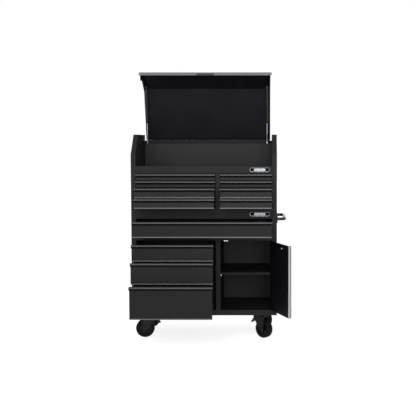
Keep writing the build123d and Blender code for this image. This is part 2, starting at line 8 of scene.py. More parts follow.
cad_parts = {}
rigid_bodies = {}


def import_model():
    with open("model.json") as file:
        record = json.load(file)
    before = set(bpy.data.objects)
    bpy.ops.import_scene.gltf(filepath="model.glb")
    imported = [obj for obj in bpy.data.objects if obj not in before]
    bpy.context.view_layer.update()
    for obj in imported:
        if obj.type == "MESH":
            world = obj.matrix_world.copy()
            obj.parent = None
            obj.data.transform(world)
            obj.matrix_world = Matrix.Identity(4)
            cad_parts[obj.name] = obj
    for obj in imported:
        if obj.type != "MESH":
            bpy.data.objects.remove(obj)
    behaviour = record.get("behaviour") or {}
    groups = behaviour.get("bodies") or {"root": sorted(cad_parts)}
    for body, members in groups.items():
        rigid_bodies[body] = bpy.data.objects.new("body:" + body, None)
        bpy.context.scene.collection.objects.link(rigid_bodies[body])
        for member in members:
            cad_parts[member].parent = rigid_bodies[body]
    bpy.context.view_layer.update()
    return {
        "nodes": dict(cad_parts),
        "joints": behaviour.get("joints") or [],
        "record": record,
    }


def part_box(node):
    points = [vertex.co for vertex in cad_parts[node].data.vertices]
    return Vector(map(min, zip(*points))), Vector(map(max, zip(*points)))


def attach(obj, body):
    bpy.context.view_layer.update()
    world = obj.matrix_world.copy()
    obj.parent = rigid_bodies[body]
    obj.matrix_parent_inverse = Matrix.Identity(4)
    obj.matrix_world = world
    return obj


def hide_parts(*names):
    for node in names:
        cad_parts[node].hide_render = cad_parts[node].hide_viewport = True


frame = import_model()
bpy.ops.object.select_all(action="DESELECT")

# Sizes in millimetres from the casing's middle, its front face and the floor, and turns in degrees
MM = 0.001
SHEET = 1.2
FINE_ROUND = 0.5
CAD_DOUBLES = 0.005
SPIN_DOUBLES = 0.01
FLAT_TURN = 0.5
SMOOTH_TURN = 50.0
WHEEL_TURN = 35.0
SOFT_TURN = 30.0
TUBE_TURN = 60.0
BEND_STEPS = 4
ROD_SIDES = 32
STAMP_BORDER = 55.0
STAMP_SLOPE = 6.0
STAMP_DEPTH = 3.0
STAMP_TURN = 20.0
SHELF_CLIP = 10.0
CLIP_ROUND = 1.5
BODY_RIGHT = 584.0

PULL_METAL = 2.5
PULL_NOSE = 6.5
PULL_LIP = 11.5
PULL_REACH = 22.0
PULL_HEIGHT = 28.0
PULL_ROUND = 0.6
DRAWER_ROUND = 2.5
TRIM_HEIGHT = 9.0
TRIM_DEPTH = 2.5
TRIM_ROUND = 1.0
SLIDE_ROUND = 0.4
# Chest rows whose trims take the drawer's coat, without the painted highlight
TRIMS_WITHOUT_HIGHLIGHT = ("_1", "_2")

LID_AXIS = (616.3, 1614.0)
LID_OPEN = 72.0
LID_LINE = ((622.0, 1620.0), (622.0, 1652.0), (177.0, 1652.0), (0.0, 1490.0), (0.0, 1402.0))
LID_HALF = 532.5
LID_INSIDE = (441.0, 1785.0)
LID_SKIRT = 45.0
LID_RETURN = 12.0
RETURN_START = 40.0
LID_BEND = 4.0
STUD_RADIUS = 5.0
STUD_PLACE = (139.5, 1560.0)
STUD_TIP = 509.8
LID_PULL_HALF = 542.5
LID_PULL_LOW = 1402.0
INSERT_HALF = 73.0
INSERT_METAL = 0.8
INSERT_BACK = -1.0
LID_HINGE_HALF = 530.0
KNUCKLE = 4.5
KNUCKLES = 42
KNUCKLE_GAP = 0.3
KNUCKLE_SIDES = 20
LEAF_METAL = 1.5
LEAF_START = 4.6
LEAF_END = 36.5
LEAF_ROUND = 0.2
HINGE_PIN = 2.5
PIN_REACH = 1.0
HINGE_REACH = 8.0
STRUT_PLANE = 505.0
STRUT_LOW = (470.0, 1590.0)
STRUT_HIGH = (417.6, 2050.8)
STRUT_MOUTH = 163.8
COLLAR_INSIDE = 3.0
COLLAR_REACH = 12.0
COLLAR_RADIUS = 9.8
COLLAR_ROUND = 1.2

DOOR_OPEN = 110.0
DOOR_LEFT = 134.0
DOOR_RIGHT = 542.0
DOOR_LOW = 244.0
DOOR_HIGH = 800.0
DOOR_THICK = 12.0
SKIN_METAL = 0.4
CATCH_MIDDLE = 173.0
CATCH_REACH = 1.0
SHORTEST_LEAF = 24.0
EDGE_METAL = 0.6
EDGE_LIP = 5.0
STRIKE = (264.5, 768.0)
STRIKE_RADIUS = 8.0
STRIKE_HEIGHT = 12.0
STRIKE_ROUND = 3.0

BADGE_STEPS = 16
BADGE_RIM = 3.2
BADGE_RECESS = 0.9
BADGE_FIELD = 0.1
BADGE_BAR_HALF = 47.0
BADGE_BAR_RADIUS = 10.5
BADGE_ROUND = 0.3

HANDLE_FRONT = 72.0
HANDLE_BACK = 518.0
BRACKET_THICK = 5.0
BRACKET_ROUND = 1.2
SCREW_DROP = 22.0
SCREW_RADIUS = 5.0
SCREW_HEIGHT = 3.2
SCREW_ROUND = 1.2

CASTER_TRAIL = 46.0
WHEEL_RADIUS = 75.0
WHEEL_WIDTH = 45.0
SHOULDER = 6.5
SHOULDER_STEPS = 6
STEP_DEPTH = 1.5
STEP_WIDTH = 2.0
SPIN_STEPS = 72
RIM_RADIUS = 60.0
RIM_INNER = 52.0
RIM_HALF = 19.0
RIM_CHAMFER = 1.0
RIM_TAPER = 2.0
WEB_HALF = 7.0
HUB_RADIUS = 15.0
HUB_HALF = 25.7
HUB_TAPER = 1.5
AXLE_RADIUS = 6.0
AXLE_PLAY = 0.2
AXLE_ROUND = 0.8
FORK_ROUND = 1.2
RIBS = 6
RIB_REACH = 14.0
RIB_THICK = 3.5
RIB_ROUND = 0.6
PEDAL_START = (-40.0, 0.0, 168.7)
PEDAL_END = (-80.0, 0.0, 120.7)
PEDAL_RIBS = 6
PEDAL_RIB = (2.4, 35.0, 2.0)
PEDAL_RIB_START = 1.5

# How far a face's normal points along an axis
SQUARELY = 0.9
MOSTLY = 0.5
SLIGHTLY = 0.1

side_low, side_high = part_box("cabinet_sides")
CASING_MIDDLE = (side_low.x + side_high.x) / 2
CASING_FRONT = side_low.y
JOINTS = {joint["name"]: joint for joint in frame["joints"]}
BODY_OF = {
    node: body
    for body, names in frame["record"]["behaviour"]["bodies"].items()
    for node in names
}


def at(x, y, z):
    """A point given in the casing's own millimetres, in the frame's metres."""
    return Vector((CASING_MIDDLE + x * MM, CASING_FRONT + y * MM, z * MM))


# The camera of the photograph: about level with the lid's hinge, to the right of the middle
CAMERA_PLACE = at(494, -7494, 1594)
CAMERA_PITCH = 85.96
CAMERA_LENS = 81.2
CAMERA_SHIFT = -0.1387
CAMERA_SENSOR = 36
CAMERA_SIGHT_METRES = 100

camera = bpy.data.objects.new("camera", bpy.data.cameras.new("camera"))
bpy.context.collection.objects.link(camera)
camera.location = CAMERA_PLACE
camera.rotation_euler = (math.radians(CAMERA_PITCH), 0, 0)
camera.data.lens = CAMERA_LENS
camera.data.sensor_width = CAMERA_SENSOR
camera.data.shift_x = CAMERA_SHIFT
camera.data.clip_end = CAMERA_SIGHT_METRES
bpy.context.scene.camera = camera


# Modelling steps
def pick(piece):
    """Makes one piece the selected and active one."""
    bpy.ops.object.select_all(action="DESELECT")
    piece.select_set(True)
    bpy.context.view_layer.objects.active = piece


def opened(piece, kind="EDGE"):
    """Enters edit mode with nothing selected, and gives the mesh being edited."""
    pick(piece)
    bpy.ops.object.mode_set(mode="EDIT")
    bpy.ops.mesh.select_mode(type=kind)
    bpy.ops.mesh.select_all(action="DESELECT")
    return bmesh.from_edit_mesh(piece.data)


def closed():
    """Leaves edit mode."""
    bpy.ops.object.mode_set(mode="OBJECT")


def middle(item):
    """The middle of an edge or a face."""
    return sum((corner.co for corner in item.verts), Vector()) / len(item.verts)


def choose(items, wanted):
    """Selects the edges or faces whose middle and own shape are wanted."""
    for item in items:
        item.select_set(wanted(item, middle(item)))


def near(a, b, gap=0.05 * MM):
    """Whether two places are the same."""
    return abs(a - b) < gap


def block(name, low, high):
    """A cube primitive stretched from its lowest to its highest corner."""
    low, high = Vector(low), Vector(high)
    bpy.ops.mesh.primitive_cube_add(size=1, location=(low + high) / 2)
    piece = bpy.context.object
    piece.name = name
    piece.scale = high - low
    bpy.ops.object.transform_apply(location=True, rotation=True, scale=True)
    return piece


def rod(name, start, end, radius, sides=48, lip=0.6):
    """A round bar between two points, with its rims broken."""
    start, end = Vector(start), Vector(end)
    bpy.ops.mesh.primitive_cylinder_add(
        vertices=sides, radius=radius * MM, depth=(end - start).length, location=(start + end) / 2
    )
    piece = bpy.context.object
    piece.name = name
    piece.rotation_euler = (end - start).to_track_quat("Z", "Y").to_euler()
    bpy.ops.object.transform_apply(location=True, rotation=True, scale=True)
    if lip:
        round_edges(piece, lip)
    return piece


def round_edges(piece, radius, segments=2, turn=40):
    """Rounds all edges of a piece that turn more sharply than this many degrees."""
    pick(piece)
    bevel = piece.modifiers.new("edges", "BEVEL")
    bevel.width = radius * MM
    bevel.segments = segments
    bevel.limit_method = "ANGLE"
    bevel.angle_limit = math.radians(turn)
    bpy.ops.object.modifier_apply(modifier="edges")
    bpy.ops.object.shade_smooth_by_angle(angle=math.radians(SMOOTH_TURN))
    weighted = piece.modifiers.new("shading", "WEIGHTED_NORMAL")
    weighted.keep_sharp = True
    bpy.ops.object.modifier_apply(modifier="shading")


def extent(piece):
    """The size of a piece's box along X, Y and Z, in millimetres."""
    corners = [corner.co for corner in piece.data.vertices]
    return [(max(c[axis] for c in corners) - min(c[axis] for c in corners)) / MM for axis in range(3)]


def thicken(piece, metal):
    """Gives a sheet its metal, on the inner side of its faces."""
    pick(piece)
    wall = piece.modifiers.new("metal", "SOLIDIFY")
    wall.thickness = metal * MM
    wall.offset = -1
    wall.use_even_offset = True
    bpy.ops.object.modifier_apply(modifier="metal")


def folded(name, line, low_x, high_x, metal, bend):
    """Sheet folded along X: the (y, z) line is extruded flange by flange, and its bends are rounded.

    The metal goes to the left of the line's direction."""
    bpy.ops.mesh.primitive_plane_add(size=1)
    piece = bpy.context.object
    piece.name = name
    places = [at(low_x, *line[0]), at(high_x, *line[0]), at(low_x, *line[1]), at(high_x, *line[1])]
    for corner, place in zip(piece.data.vertices, places):
        corner.co = place
    bpy.ops.object.transform_apply(location=True, rotation=True, scale=True)
    for start, end in zip(line[1:], line[2:]):
        mesh = opened(piece)
        here = at(0, *start)
        choose(mesh.edges, lambda edge, spot: near(spot.y, here.y) and near(spot.z, here.z))
        step = at(0, *end) - here
        bpy.ops.mesh.extrude_edges_move(TRANSFORM_OT_translate={"value": step})
        closed()
    mesh = opened(piece)
    bends = [at(0, *point) for point in line[1:-1]]
    choose(mesh.edges, lambda edge, spot: any(near(spot.y, b.y) and near(spot.z, b.z) for b in bends))
    bpy.ops.mesh.bevel(offset=bend * MM, segments=BEND_STEPS, affect="EDGES")
    bpy.ops.mesh.select_all(action="SELECT")
    bpy.ops.mesh.normals_make_consistent(inside=False)
    closed()
    run = at(0, *line[1]) - at(0, *line[0])
    first = min(piece.data.polygons, key=lambda face: (face.center - at(0, *line[0])).length)
    if first.normal.y * run.z - first.normal.z * run.y < 0:
        piece.data.flip_normals()
    thicken(piece, metal)
    return piece


def offset_line(points, distance):
    """An open (y, z) line moved to the left of its direction, with mitred corners."""
    ways = [(Vector(b) - Vector(a)).normalized() for a, b in zip(points, points[1:])]
    sides = [Vector((-way.y, way.x)) for way in ways]
    moved = []
    for number, point in enumerate(points):
        before, after = sides[max(number - 1, 0)], sides[min(number, len(sides) - 1)]
        moved.append(Vector(point) + (before + after) * distance / (1 + before.dot(after)))
    return moved


def plate(name, outline, low, high, axis="X"):
    """A flat plate: a filled circle whose corners are drawn to the outline, extruded along X or Y."""
    bpy.ops.mesh.primitive_circle_add(vertices=len(outline), fill_type="NGON")
    piece = bpy.context.object
    piece.name = name
    for corner, (a, b) in zip(piece.data.vertices, outline):
        corner.co = at(*{"X": (low, a, b), "Y": (a, low, b)}[axis])
    opened(piece)
    bpy.ops.mesh.select_all(action="SELECT")
    step = [(high - low) * MM if axis == letter else 0 for letter in "XYZ"]
    bpy.ops.mesh.extrude_region_move(TRANSFORM_OT_translate={"value": step})
    bpy.ops.mesh.select_all(action="SELECT")
    bpy.ops.mesh.normals_make_consistent(inside=False)
    closed()
    return piece


def copy_of(node, name):
    """A copy of a CAD node's mesh, its doubles merged and its flat faces made whole."""
    piece = bpy.data.objects.new(name, frame["nodes"][node].data.copy())
    bpy.context.collection.objects.link(piece)
    opened(piece)
    bpy.ops.mesh.select_all(action="SELECT")
    bpy.ops.mesh.remove_doubles(threshold=CAD_DOUBLES * MM)
    bpy.ops.mesh.dissolve_limited(angle_limit=math.radians(FLAT_TURN))
    closed()
    return piece


def solids_of(piece):
    """Splits a piece into its separate solids, the largest first."""
    known = set(bpy.data.objects)
    opened(piece)
    bpy.ops.mesh.select_all(action="SELECT")
    bpy.ops.mesh.separate(type="LOOSE")
    closed()
    parts = [piece, *[thing for thing in bpy.data.objects if thing not in known]]
    return sorted(parts, key=lambda part: -sum(face.area for face in part.data.polygons))


def joined(name, parts):
    """Several parts as one piece."""
    pick(parts[0])
    for part in parts:
        part.select_set(True)
    if len(parts) > 1:
        bpy.ops.object.join()
    parts[0].name = name
    return parts[0]


def turned(piece, joint, degrees):
    """Turns a piece that was modelled closed about its joint's axis, to where it stands open."""
    place = Matrix.Translation(JOINTS[joint]["pos_m"])
    turn = Matrix.Rotation(math.radians(degrees), 4, Vector(JOINTS[joint]["axis"]))
    piece.data.transform(place @ turn @ place.inverted())
    return piece


def finished(piece, material, body, slot, *nodes):
    """Gives a piece its material and the body it rides on, and hides the CAD nodes it stands for; the
    slot is not used.
    """
    piece.data.materials.clear()
    piece.data.materials.append(material)
    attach(piece, body)
    if nodes:
        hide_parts(*nodes)


# Materials
LENGTHWISE = (0.02, 1, 1)
UPRIGHT = (1, 1, 0.02)
PATTERN_LOW = 0.3
PATTERN_HIGH = 0.7


def linear(colour):
    """An sRGB hex colour as the shader's linear one."""
    parts = [int(colour[i : i + 2], 16) / 255 for i in (1, 3, 5)]
    return [p / 12.92 if p <= 0.04045 else ((p + 0.055) / 1.055) ** 2.4 for p in parts] + [1.0]


def add(tree, kind, inputs=(), **settings):
    """Adds a node with its settings. An input is a plain value, or another node's output to link."""
    made = tree.nodes.new(kind)
    for name, value in settings.items():
        setattr(made, name, value)
    for name, value in dict(inputs).items():
        if isinstance(value, bpy.types.NodeSocket):
            tree.links.new(value, made.inputs[name])
        else:
            made.inputs[name].default_value = value
    return made


def started(name, roughness, **values):
    """A material with its shader's plain values set, its tree, its shader and object coordinates."""
    material = bpy.data.materials.new(name)
    material.use_nodes = True
    tree = material.node_tree
    shader = tree.nodes["Principled BSDF"]
    shader.inputs["Roughness"].default_value = roughness
    for socket, value in values.items():
        shader.inputs[socket.replace("_", " ")].default_value = value
    return material, tree, shader, add(tree, "ShaderNodeTexCoord").outputs["Object"]


def tinted(tree, shader, factor, low, high):
    """Lets a pattern vary the colour between two hex values."""
    ramp = add(tree, "ShaderNodeValToRGB", {"Fac": factor})
    ramp.color_ramp.elements[0].color = linear(low)
    ramp.color_ramp.elements[1].color = linear(high)
    ramp.color_ramp.elements[0].position = PATTERN_LOW
    ramp.color_ramp.elements[1].position = PATTERN_HIGH
    tree.links.new(ramp.outputs["Color"], shader.inputs["Base Color"])


def roughened(tree, shader, factor, low, high):
    """Lets a pattern vary the roughness."""
    spread = add(tree, "ShaderNodeMapRange", {"Value": factor, "To Min": low, "To Max": high})
    tree.links.new(spread.outputs["Result"], shader.inputs["Roughness"])


def bumped(tree, shader, height, depth, strength):
    """Lets a pattern stand out from the surface, by a depth in millimetres."""
    bump = add(tree, "ShaderNodeBump", {"Height": height, "Distance": depth * MM, "Strength": strength})
    tree.links.new(bump.outputs["Normal"], shader.inputs["Normal"])


def noise(tree, spot, size, detail=2.0):
    """A cloudy pattern whose patches are about this many millimetres wide."""
    made = add(tree, "ShaderNodeTexNoise", {"Vector": spot, "Scale": 1000 / size, "Detail": detail})
    return made.outputs["Fac"]


def powder_coat(name, low, high, depth, rough, level, grain=2.2):
    """Polyester powder coat, sprayed and baked on steel: an even deep black whose fine orange peel
    breaks up the light, a little cloudy where the powder lay thicker."""
    material, tree, shader, spot = started(name, rough[1], IOR=1.5, Specular_IOR_Level=level)
    peel = noise(tree, spot, size=grain)
    cloud = noise(tree, spot, size=180, detail=3.0)
    tinted(tree, shader, cloud, low, high)
    roughened(tree, shader, cloud, *rough)
    bumped(tree, shader, peel, depth, strength=0.35)
    return material


def anodised_aluminium(name, low, high, rough=(0.34, 0.46), stretch=LENGTHWISE):
    """Extruded aluminium, brushed along its length and anodised: satin grey with fine lines that run
    along the bar and draw the highlights out."""
    material, tree, shader, spot = started(name, rough[1], Metallic=1.0)
    along = add(tree, "ShaderNodeMapping", {"Vector": spot, "Scale": stretch})
    lines = noise(tree, along.outputs["Vector"], size=1.2)
    tinted(tree, shader, lines, low, high)
    roughened(tree, shader, lines, *rough)
    bumped(tree, shader, lines, depth=0.05, strength=0.4)
    return material


def plated_steel(name, low, high, rough, size):
    """Zinc-plated, blackened or chromed steel: metal with faint cloudy patches in its shine."""
    material, tree, shader, spot = started(name, rough[1], Metallic=1.0)
    patches = noise(tree, spot, size, detail=4.0)
    tinted(tree, shader, patches, low, high)
    roughened(tree, shader, patches, *rough)
    return material


def moulded_rubber():
    """Black polyurethane tyre, moulded: matt, dark grey-black, a fine grain and a dusty bloom."""
    material, tree, shader, spot = started(
        "moulded_black_tyre", roughness=0.62, IOR=1.5, Specular_IOR_Level=0.08
    )
    dust = noise(tree, spot, size=25, detail=5.0)
    grain = noise(tree, spot, size=1.5)
    tinted(tree, shader, dust, "#09090a", "#101011")
    roughened(tree, shader, dust, low=0.5, high=0.75)
    bumped(tree, shader, grain, depth=0.15, strength=0.4)
    return material


def moulded_nylon(name, low, high, level):
    """Black glass-filled nylon, injection moulded: a soft sheen over a faint mould grain."""
    material, tree, shader, spot = started(
        name, roughness=0.45, IOR=1.53, Specular_IOR_Level=level
    )
    grain = noise(tree, spot, size=1.2)
    cloud = noise(tree, spot, size=40)
    tinted(tree, shader, cloud, low, high)
    roughened(tree, shader, cloud, low=0.36, high=0.52)
    bumped(tree, shader, grain, depth=0.1, strength=0.3)
    return material


# The casing's outside: deep black with a soft, slightly cloudy sheen
CASING_COAT = powder_coat(
    "black_powder_coat_casing", "#1c1c1d", "#222223", depth=0.12, rough=(0.42, 0.52), level=0.11
)
# The backs: the casing's black painted a little lighter, as painted light against the shade they stand
# in, so that the sheet under the open lid shows
LIT_BACK_COAT = powder_coat(
    "lightened_black_powder_coat_backs", "#202021", "#282829", depth=0.12, rough=(0.42, 0.52), level=0.15
)
# The chest's drawers: lighter and smoother than the casing, so that their fronts stand out; lighter than
# the cabinet's drawers as painted light from the lamps above
CHEST_DRAWER_COAT = powder_coat(
    "lit_black_powder_coat_chest_drawers", "#1f1f20", "#252526", depth=0.10, rough=(0.38, 0.48), level=0.13
)
# The cabinet's drawers: as smooth, and a deeper black, which is painted shade where less light falls
# lower down
DRAWER_COAT = powder_coat(
    "shaded_black_powder_coat_drawers", "#19191a", "#1e1e1f", depth=0.10, rough=(0.38, 0.48), level=0.11
)
# The lid's inside and its skirts: black with a faint violet cast and little sheen
INNER_COAT = powder_coat(
    "black_powder_coat_lid", "#151419", "#1b1a20", depth=0.12, rough=(0.45, 0.55), level=0.09
)
# The door's inner face: painted shade, a blue-black almost without sheen that keeps it dark under the
# lamps
DOOR_PAINTED_SHADE = powder_coat(
    "painted_shade_door_lining", "#0b0b0f", "#0f0f14", depth=0.12, rough=(0.5, 0.6), level=0.05
)
# The channels behind the pulls and the badges' fields: near-black; in the channels partly their real
# black and partly painted shade under the lips, as dark as an open gap
SHADE_AND_FIELD_BLACK = powder_coat(
    "painted_shade_channel_and_badge_field", "#040404", "#080808", depth=0.08, rough=(0.6, 0.7), level=0.06
)
# The push handle: gloss black with bright, narrow highlights
HANDLE_COAT = powder_coat(
    "gloss_black_handle", "#0a0a0b", "#0f0f10", depth=0.05, rough=(0.16, 0.24), level=0.35, grain=3.0
)
# The struts' tubes: black enamel with a thin highlight down the tube
STRUT_PAINT = powder_coat(
    "black_enamel_strut", "#0b0b0c", "#101011", depth=0.03, rough=(0.22, 0.30), level=0.22, grain=3.0
)
# The hinges: dark metal with a dull, patchy shine
HINGE_BLACK = plated_steel("black_oxide_hinge", "#161618", "#202023", rough=(0.42, 0.55), size=15)
# The drawers' pulls: dark satin grey that draws a line over each front
PULL_ALUMINIUM = anodised_aluminium("anodised_aluminium_pull", "#454648", "#4e4f51")
# The lid's pull: a lighter satin grey along the lid's free edge
LID_ALUMINIUM = anodised_aluminium("anodised_aluminium_lid_pull", "#606163", "#6d6e70")
# The door's pull: mid grey, brushed upright
DOOR_ALUMINIUM = anodised_aluminium("anodised_aluminium_door_pull", "#727375", "#828385", stretch=UPRIGHT)
# The door's free edge: a bright upright line
EDGE_ALUMINIUM = anodised_aluminium("anodised_aluminium_door_edge", "#969799", "#a8a9ab", stretch=UPRIGHT)
# The drawers' beads: a painted highlight, a thin grey line under each front where its lower edge catches
# the light
HIGHLIGHT_TRIM = anodised_aluminium("satin_drawer_trim", "#505153", "#5b5c5e", rough=(0.38, 0.5))
# The badges: brushed plates whose rims glint
PLATE_ALUMINIUM = anodised_aluminium("brushed_aluminium_badge", "#6b6c6f", "#7c7d80", rough=(0.28, 0.40))
# The slides: grey metal with soft patches
SLIDE_ZINC = plated_steel("black_zinc_slide", "#4a4b4d", "#5d5e61", rough=(0.30, 0.45), size=30)
# The clips, the catch, the strike and the casters' plates: bright metal
BRIGHT_ZINC = plated_steel("bright_zinc_hardware", "#9c9d9f", "#b6b7b9", rough=(0.25, 0.40), size=12)
# The casters' forks, the studs, pins and screws: near-black metal
DARK_ZINC = plated_steel("black_zinc_caster", "#1f1f21", "#2c2c2f", rough=(0.38, 0.52), size=20)
# The struts' rods: the smoothest metal, with the sharpest highlights
ROD_CHROME = plated_steel("hard_chrome_rod", "#8f9092", "#a3a4a6", rough=(0.12, 0.2), size=8)
# The tyres: matt and dusty
TYRE = moulded_rubber()
# The casters' rims, the pedals and the struts' collars: black with a soft sheen
NYLON = moulded_nylon("moulded_black_nylon", "#0c0c0d", "#131314", level=0.12)
# The thumb insert in the lid's pull: dark grey, lighter than the rest of the mouldings
INSERT_NYLON = moulded_nylon("moulded_grip_nylon", "#222223", "#2c2c2d", level=0.4)


# Casing: folded sheet with painted edges
def sheet_piece(node, name, material, slot):
    """A CAD sheet part with the fine rounding that folded and painted edges have."""
    piece = copy_of(node, name)
    round_edges(piece, FINE_ROUND)
    finished(piece, material, BODY_OF[node], slot, node)


def back_panel(node, name):
    """A back sheet with a broad field pressed outwards, which keeps it from drumming."""
    piece = copy_of(node, name)
    mesh = opened(piece, "FACE")
    choose(mesh.faces, lambda face, spot: abs(face.normal.y) > SQUARELY)
    bpy.ops.mesh.inset(thickness=STAMP_BORDER * MM, use_individual=True)
    bpy.ops.mesh.inset(thickness=STAMP_SLOPE * MM, use_individual=True)
    bpy.ops.transform.translate(value=(0, STAMP_DEPTH * MM, 0))
    closed()
    round_edges(piece, FINE_ROUND, turn=STAMP_TURN)
    finished(piece, LIT_BACK_COAT, "casing", "casing_paint", node)


for node, name in (
    ("cabinet_sides", "cabinet_side_panels"),
    ("cabinet_top", "cabinet_top_panel"),
    ("cabinet_floor", "cabinet_floor_and_channels"),
    ("cabinet_front_frame", "cabinet_front_rails"),
    ("cabinet_divider", "cabinet_centre_panel"),
    ("chest_sides", "chest_side_panels"),
    ("chest_floors", "chest_floor_panels"),
    ("chest_front_frame", "chest_front_rails"),
    ("chest_divider", "chest_centre_panel"),
):
    sheet_piece(node, name, CASING_COAT, "casing_paint")
back_panel("cabinet_back", "cabinet_back_panel")
sheet_piece("chest_back", "chest_back_panel", LIT_BACK_COAT, "casing_paint")


def shelf():
    """The compartment's shelf: a pan folded down all round, on four bright clips."""
    low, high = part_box("compartment_shelf")
    clip_top = low.z + SHELF_CLIP * MM
    pan = block("shelf_pan", (low.x, low.y, clip_top), high)
    mesh = opened(pan, "FACE")
    choose(mesh.faces, lambda face, spot: face.normal.z < -MOSTLY)
    bpy.ops.mesh.delete(type="FACE")
    closed()
    thicken(pan, SHEET)
    round_edges(pan, FINE_ROUND)
    finished(pan, CASING_COAT, "casing", "casing_paint", "compartment_shelf")
    clips = []
    size = Vector((SHELF_CLIP, 2 * SHELF_CLIP, SHELF_CLIP)) * MM
    for x in (low.x, high.x - size.x):
        for y in (low.y, high.y - size.y):
            clips.append(block("clip", (x, y, low.z), Vector((x, y, low.z)) + size))
    clips = joined("shelf_clips", clips)
    round_edges(clips, CLIP_ROUND, segments=3)
    finished(clips, BRIGHT_ZINC, "casing", "slide_steel")


shelf()

for part in ("cabinet", "chest"):
    sheet_piece(f"{part}_slide_rails", f"{part}_slides", SLIDE_ZINC, "slide_steel")


# Drawers, with their slide members, pulls, and trims whose grey is a painted highlight
def edge_trim(name, low, high):
    """A slim bead along the lower edge of a drawer's front, whose grey paints the highlight that this
    edge catches.
    """
    top = Vector((high.x, low.y + TRIM_DEPTH * MM, low.z + TRIM_HEIGHT * MM))
    trim = block(name, low, top)
    round_edges(trim, TRIM_ROUND, segments=3)
    return trim


def drawer(node):
    """A drawer's body with rounded front corners, its trim that carries a painted highlight, and the two
    slide members on its sides.
    """
    name = node.removeprefix("drawer_")
    low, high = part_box(node)
    body, *members = solids_of(copy_of(node, f"drawer_body_{name}"))
    trim = edge_trim(f"drawer_trim_{name}", low, high)
    mesh = opened(body)

    def is_front_corner(edge, spot):
        start, end = (corner.co for corner in edge.verts)
        upright = near(start.x, end.x) and near(start.y, end.y)
        corner = near(spot.x, low.x) or near(spot.x, high.x)
        return near(spot.y, low.y) and (near(spot.z, high.z) or (upright and corner))

    choose(mesh.edges, is_front_corner)
    bpy.ops.mesh.bevel(offset=DRAWER_ROUND * MM, segments=BEND_STEPS, affect="EDGES")
    closed()
    round_edges(body, FINE_ROUND)
    slides = joined(f"drawer_slides_{name}", members)
    round_edges(slides, SLIDE_ROUND)
    in_chest = name.startswith("chest")
    # One paint on all drawers, lighter in the chest and darker in the cabinet as painted light and shade
    coat = CHEST_DRAWER_COAT if in_chest else DRAWER_COAT
    finished(body, coat, BODY_OF[node], "drawer_paint", node)
    # The trim's grey is a painted highlight; the rows listed above show none and take the drawer's coat
    painted = in_chest and name.endswith(TRIMS_WITHOUT_HIGHLIGHT)
    finished(trim, coat if painted else HIGHLIGHT_TRIM, BODY_OF[node], "pull_metal")
    finished(slides, SLIDE_ZINC, BODY_OF[node], "slide_steel")


def pull_bar(name, low, high, flipped=False):
    """A full-width pull: a bevelled bar with a turned-down lip and closed ends, hollow below.

    Returns the bar and the channel behind its lip; the callers colour it near-black, partly its own black
    and partly painted shade under the lip."""
    grip = block(name, low, high)
    mesh = opened(grip)
    lower, upper = (high.z, low.z) if flipped else (low.z, high.z)
    choose(mesh.edges, lambda edge, spot: near(spot.y, low.y) and near(spot.z, lower))
    rise = (upper - lower) - math.copysign(PULL_LIP * MM, upper - lower)
    bpy.ops.transform.translate(value=(0, 0, rise))
    bpy.ops.mesh.select_all(action="DESELECT")
    choose(mesh.edges, lambda edge, spot: near(spot.y, low.y) and near(spot.z, upper))
    bpy.ops.mesh.bevel(offset=PULL_NOSE * MM, segments=1, affect="EDGES")
    bpy.ops.mesh.select_mode(type="FACE")
    bpy.ops.mesh.select_all(action="DESELECT")
    mesh = bmesh.from_edit_mesh(grip.data)
    down = 1 if flipped else -1

    def is_open_side(face, spot):
        below = face.normal.z * down > MOSTLY and abs(face.normal.y) > SLIGHTLY
        return face.normal.y > SQUARELY or (below and abs(spot.z - lower) < PULL_LIP * MM)

    choose(mesh.faces, is_open_side)
    bpy.ops.mesh.delete(type="FACE")
    closed()
    thicken(grip, PULL_METAL)
    round_edges(grip, PULL_ROUND)
    wall = PULL_METAL * MM
    bottom, top = (low.z + wall, high.z) if flipped else (low.z, high.z - wall)
    corners = (low.x + wall, high.y - wall, bottom), (high.x - wall, high.y, top)
    channel = block(f"{name}_channel", *corners)
    round_edges(channel, FINE_ROUND)
    return grip, channel


for node in sorted(frame["nodes"]):
    if node.startswith("drawer_"):
        drawer(node)
    elif node.startswith("pull_"):
        grip, channel = pull_bar(node.replace("pull_", "drawer_grip_"), *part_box(node))
        finished(grip, PULL_ALUMINIUM, BODY_OF[node], "pull_metal", node)
        finished(channel, SHADE_AND_FIELD_BLACK, BODY_OF[node], "drawer_paint")


# Lid, its full-width hinge, its pull and its struts
def lid():
    """The lid's bent panel, coated outside as the casing is, the folded skirts that close its ends,
    and the studs of its struts."""
    panel = folded("lid_panel", LID_LINE, -LID_HALF, LID_HALF, SHEET, LID_BEND)
    # A skirt's wall and the fold along its rim: how far each starts in front of the rear bend,
    # how far below the panel it begins, and how far it reaches in from the side
    wall = (SHEET, SHEET, SHEET)
    fold = (RETURN_START, LID_SKIRT - SHEET, LID_RETURN)
    skirts, studs = [], []
    for side in (-1, 1):
        for start, drop, reach in (wall, fold):
            line = [(LID_LINE[1][0] - start, LID_LINE[1][1]), *LID_LINE[2:]]
            outline = offset_line(line, drop) + offset_line(line, LID_SKIRT)[::-1]
            span = sorted((side * LID_HALF, side * (LID_HALF - reach)))
            skirts.append(plate("skirt", outline, *span))
        ends = [at(side * x, *STUD_PLACE) for x in (LID_HALF - SHEET, STUD_TIP)]
        studs.append(rod("stud", *ends, STUD_RADIUS))
    for piece, material, nodes in (
        (panel, INNER_COAT, ["lid_shell"]),
        (joined("lid_skirts", skirts), INNER_COAT, []),
        (joined("lid_strut_studs", studs), DARK_ZINC, []),
    ):
        round_edges(piece, FINE_ROUND)
        finished(turned(piece, "lid_hinge", -LID_OPEN), material, "lid", "casing_paint", *nodes)
    panel.data.materials.append(CASING_COAT)
    inside = at(0, *LID_INSIDE)
    for face in panel.data.polygons:
        out = face.center - inside
        if face.normal.y * out.y + face.normal.z * out.z > 0:
            face.material_index = 1


